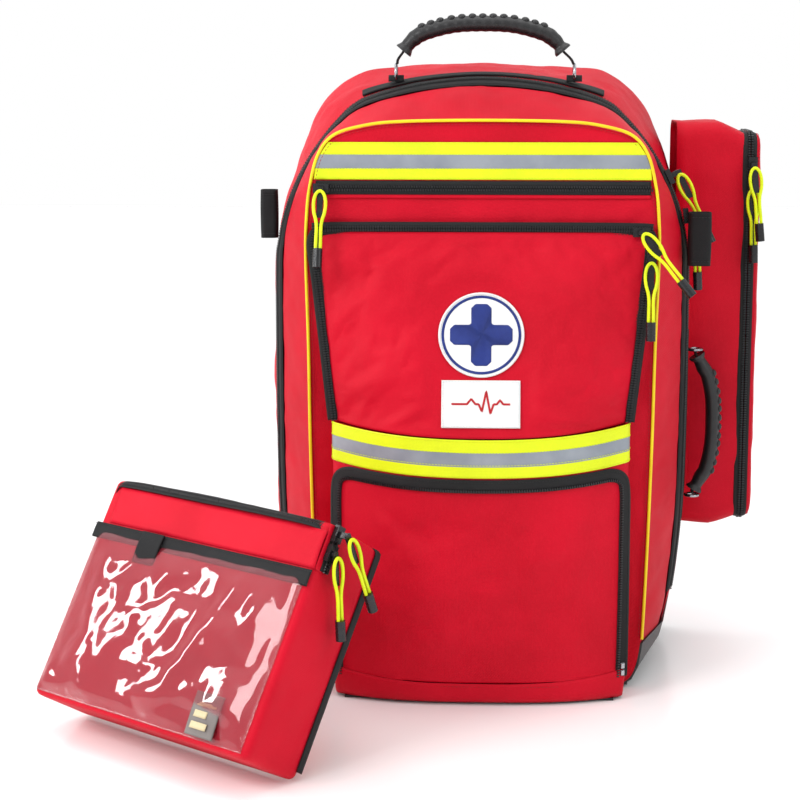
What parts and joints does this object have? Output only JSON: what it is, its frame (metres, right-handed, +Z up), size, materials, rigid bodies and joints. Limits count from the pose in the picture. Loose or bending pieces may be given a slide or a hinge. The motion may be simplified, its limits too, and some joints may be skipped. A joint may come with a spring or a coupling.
{
  "type": "trauma backpack",
  "caption": "Red first-responder trauma backpack with zip-open front half, front pocket, side pouch, rubber carry handles and a detached clear-window pouch.",
  "frame": {"origin": "on the floor under the middle of the pack, at the centre of its base plate between the parting line and the back", "axes": "+Z up, +X to the right seen from the front, +Y towards the back panel; the front faces -Y"},
  "size_m": [0.696, 0.5754, 0.6551],
  "materials": {
    "fabric_red": "woven polyester with a slight sheen",
    "pvc_black": "coated tarpaulin",
    "board_plastic": "moulded sheet",
    "divider_grey": "padded brushed cloth",
    "zip_black": "coil zip on woven tape",
    "padding_black": "spacer mesh over foam",
    "webbing_black": "woven webbing",
    "buckle_black": "moulded",
    "steel": "bright wire",
    "rubber_black": "moulded",
    "piping_yellow": "covered cord",
    "tape_reflective": "yellow tape with a silver stripe",
    "mesh_black": "open mesh",
    "emblem_cloth": "embroidered badge",
    "patch_white": "woven patch",
    "film_clear": "clear flexible film",
    "slider_black": "black slider with moulded cap",
    "cord_yellow": "braided cord"
  },
  "bodies": {
    "pack": {"rear_shell": "fabric_red", "lower_gusset": "fabric_red", "base_boot": "pvc_black", "back_board": "board_plastic", "compartment_dividers": "divider_grey", "main_zip_rear": "zip_black", "back_padding": "padding_black", "shoulder_straps": "padding_black", "strap_webbing": "webbing_black", "strap_buckles": "buckle_black", "side_pouch_body": "fabric_red", "side_pouch_zip_body": "zip_black", "webbing_loop_left": "webbing_black", "handle_rings": "steel", "handle_straps": "webbing_black"},
    "lid": {"front_shell": "fabric_red", "main_zip_front": "zip_black", "piping": "piping_yellow", "upper_reflective_tape": "tape_reflective", "top_pocket_zip": "zip_black", "mid_pocket_gusset": "fabric_red", "lower_pocket": "fabric_red", "lower_reflective_tape": "tape_reflective", "panel_zip_half": "zip_black", "lid_mesh_pocket": "mesh_black", "webbing_loop_right": "webbing_black"},
    "pocket_front": {"mid_pocket_flap": "fabric_red", "mid_pocket_zip": "zip_black", "emblem_patch": "emblem_cloth", "name_patch": "patch_white"},
    "top_handle": {"top_handle_grip": "rubber_black", "top_handle_webbing": "webbing_black"},
    "side_handle": {"side_handle_grip": "rubber_black", "side_handle_webbing": "webbing_black"},
    "side_cover": {"side_pouch_lid": "fabric_red"},
    "window_pouch": {"pouch_body": "fabric_red", "pouch_zip": "zip_black", "window_film": "film_clear", "window_band": "webbing_black", "pouch_label": "patch_white", "pouch_back_zip": "zip_black"},
    "window_pouch_flap": {"pouch_flap": "fabric_red"},
    "main_slider_upper": {"main_slider_upper": "slider_black", "main_slider_upper_cord": "cord_yellow"},
    "main_slider_lower": {"main_slider_lower": "slider_black", "main_slider_lower_cord": "cord_yellow"},
    "top_slider": {"top_slider": "slider_black", "top_slider_cord": "cord_yellow"},
    "mid_slider_top": {"mid_slider_top": "slider_black", "mid_slider_top_cord": "cord_yellow"},
    "mid_slider_side": {"mid_slider_side": "slider_black", "mid_slider_side_cord": "cord_yellow"},
    "side_slider_upper": {"side_slider_upper": "slider_black", "side_slider_upper_cord": "cord_yellow"},
    "side_slider_lower": {"side_slider_lower": "slider_black", "side_slider_lower_cord": "cord_yellow"},
    "pouch_slider_top": {"pouch_slider_top": "slider_black", "pouch_slider_top_cord": "cord_yellow"},
    "pouch_slider_side": {"pouch_slider_side": "slider_black", "pouch_slider_side_cord": "cord_yellow"}
  },
  "joints": [
    {"name": "lid_open", "type": "hinge", "parent": "pack", "child": "lid", "pos_m": [0, -0.163, 0.02], "axis": [1, 0, 0], "range_deg": [0, 90]},
    {"name": "pouch_set_aside", "type": "slide", "parent": "pack", "child": "window_pouch", "axis": [-1, 0, 0], "range_m": [0, 0.346]},
    {"name": "pocket_front_fold", "type": "hinge", "parent": "lid", "child": "pocket_front", "pos_m": [0, -0.161, 0.267], "axis": [1, 0, 0], "range_deg": [0, 80]},
    {"name": "top_handle_swing", "type": "hinge", "parent": "pack", "child": "top_handle", "pos_m": [0, 0.004, 0.5975], "axis": [1, 0, 0], "range_deg": [-70, 70]},
    {"name": "side_handle_swing", "type": "hinge", "parent": "pack", "child": "side_handle", "pos_m": [0.216, 0.006, 0.247], "axis": [0, 0, 1], "range_deg": [-35, 35]},
    {"name": "side_cover_open", "type": "hinge", "parent": "pack", "child": "side_cover", "pos_m": [0.2723, 0.118, 0.335], "axis": [0, 0, 1], "range_deg": [0, 110]},
    {"name": "pouch_flap_fold", "type": "hinge", "parent": "window_pouch", "child": "window_pouch_flap", "pos_m": [-0.24901, -0.26909, 0.18383], "axis": [0.7837, -0.6211, 0], "range_deg": [0, 100]},
    {"name": "main_slider_upper_run", "type": "hinge", "parent": "pack", "child": "main_slider_upper", "pos_m": [-0.007, -0.02, 0.4], "axis": [0, -1, 0], "range_deg": [0, 24]},
    {"name": "main_slider_lower_run", "type": "slide", "parent": "pack", "child": "main_slider_lower", "axis": [0.1395, 0, -0.9902], "range_m": [0, 0.06]},
    {"name": "top_slider_run", "type": "slide", "parent": "lid", "child": "top_slider", "axis": [1, 0, 0], "range_m": [0, 0.275]},
    {"name": "mid_slider_top_run", "type": "slide", "parent": "pocket_front", "child": "mid_slider_top", "axis": [-1, 0, 0], "range_m": [0, 0.28]},
    {"name": "mid_slider_side_run", "type": "slide", "parent": "pocket_front", "child": "mid_slider_side", "axis": [-0.1168, -0.0613, -0.9913], "range_m": [0, 0.08]},
    {"name": "side_slider_upper_run", "type": "slide", "parent": "side_cover", "child": "side_slider_upper", "axis": [0, 0, 1], "range_m": [0, 0.01]},
    {"name": "side_slider_lower_run", "type": "slide", "parent": "side_cover", "child": "side_slider_lower", "axis": [0, 0, -1], "range_m": [0, 0.32]},
    {"name": "pouch_pull_swing", "type": "hinge", "parent": "window_pouch_flap", "child": "pouch_slider_top", "pos_m": [-0.12204, -0.3359, 0.2099], "axis": [0.7837, -0.6211, 0], "range_deg": [-8, 30]},
    {"name": "pouch_slider_side_run", "type": "slide", "parent": "window_pouch_flap", "child": "pouch_slider_side", "axis": [-0.3199, -0.4036, -0.8572], "range_m": [0, 0.008]}
  ],
  "couplings": [
    {"joint": "pouch_set_aside", "follows": "lid_open", "m_per_rad": 0.22}
  ]
}
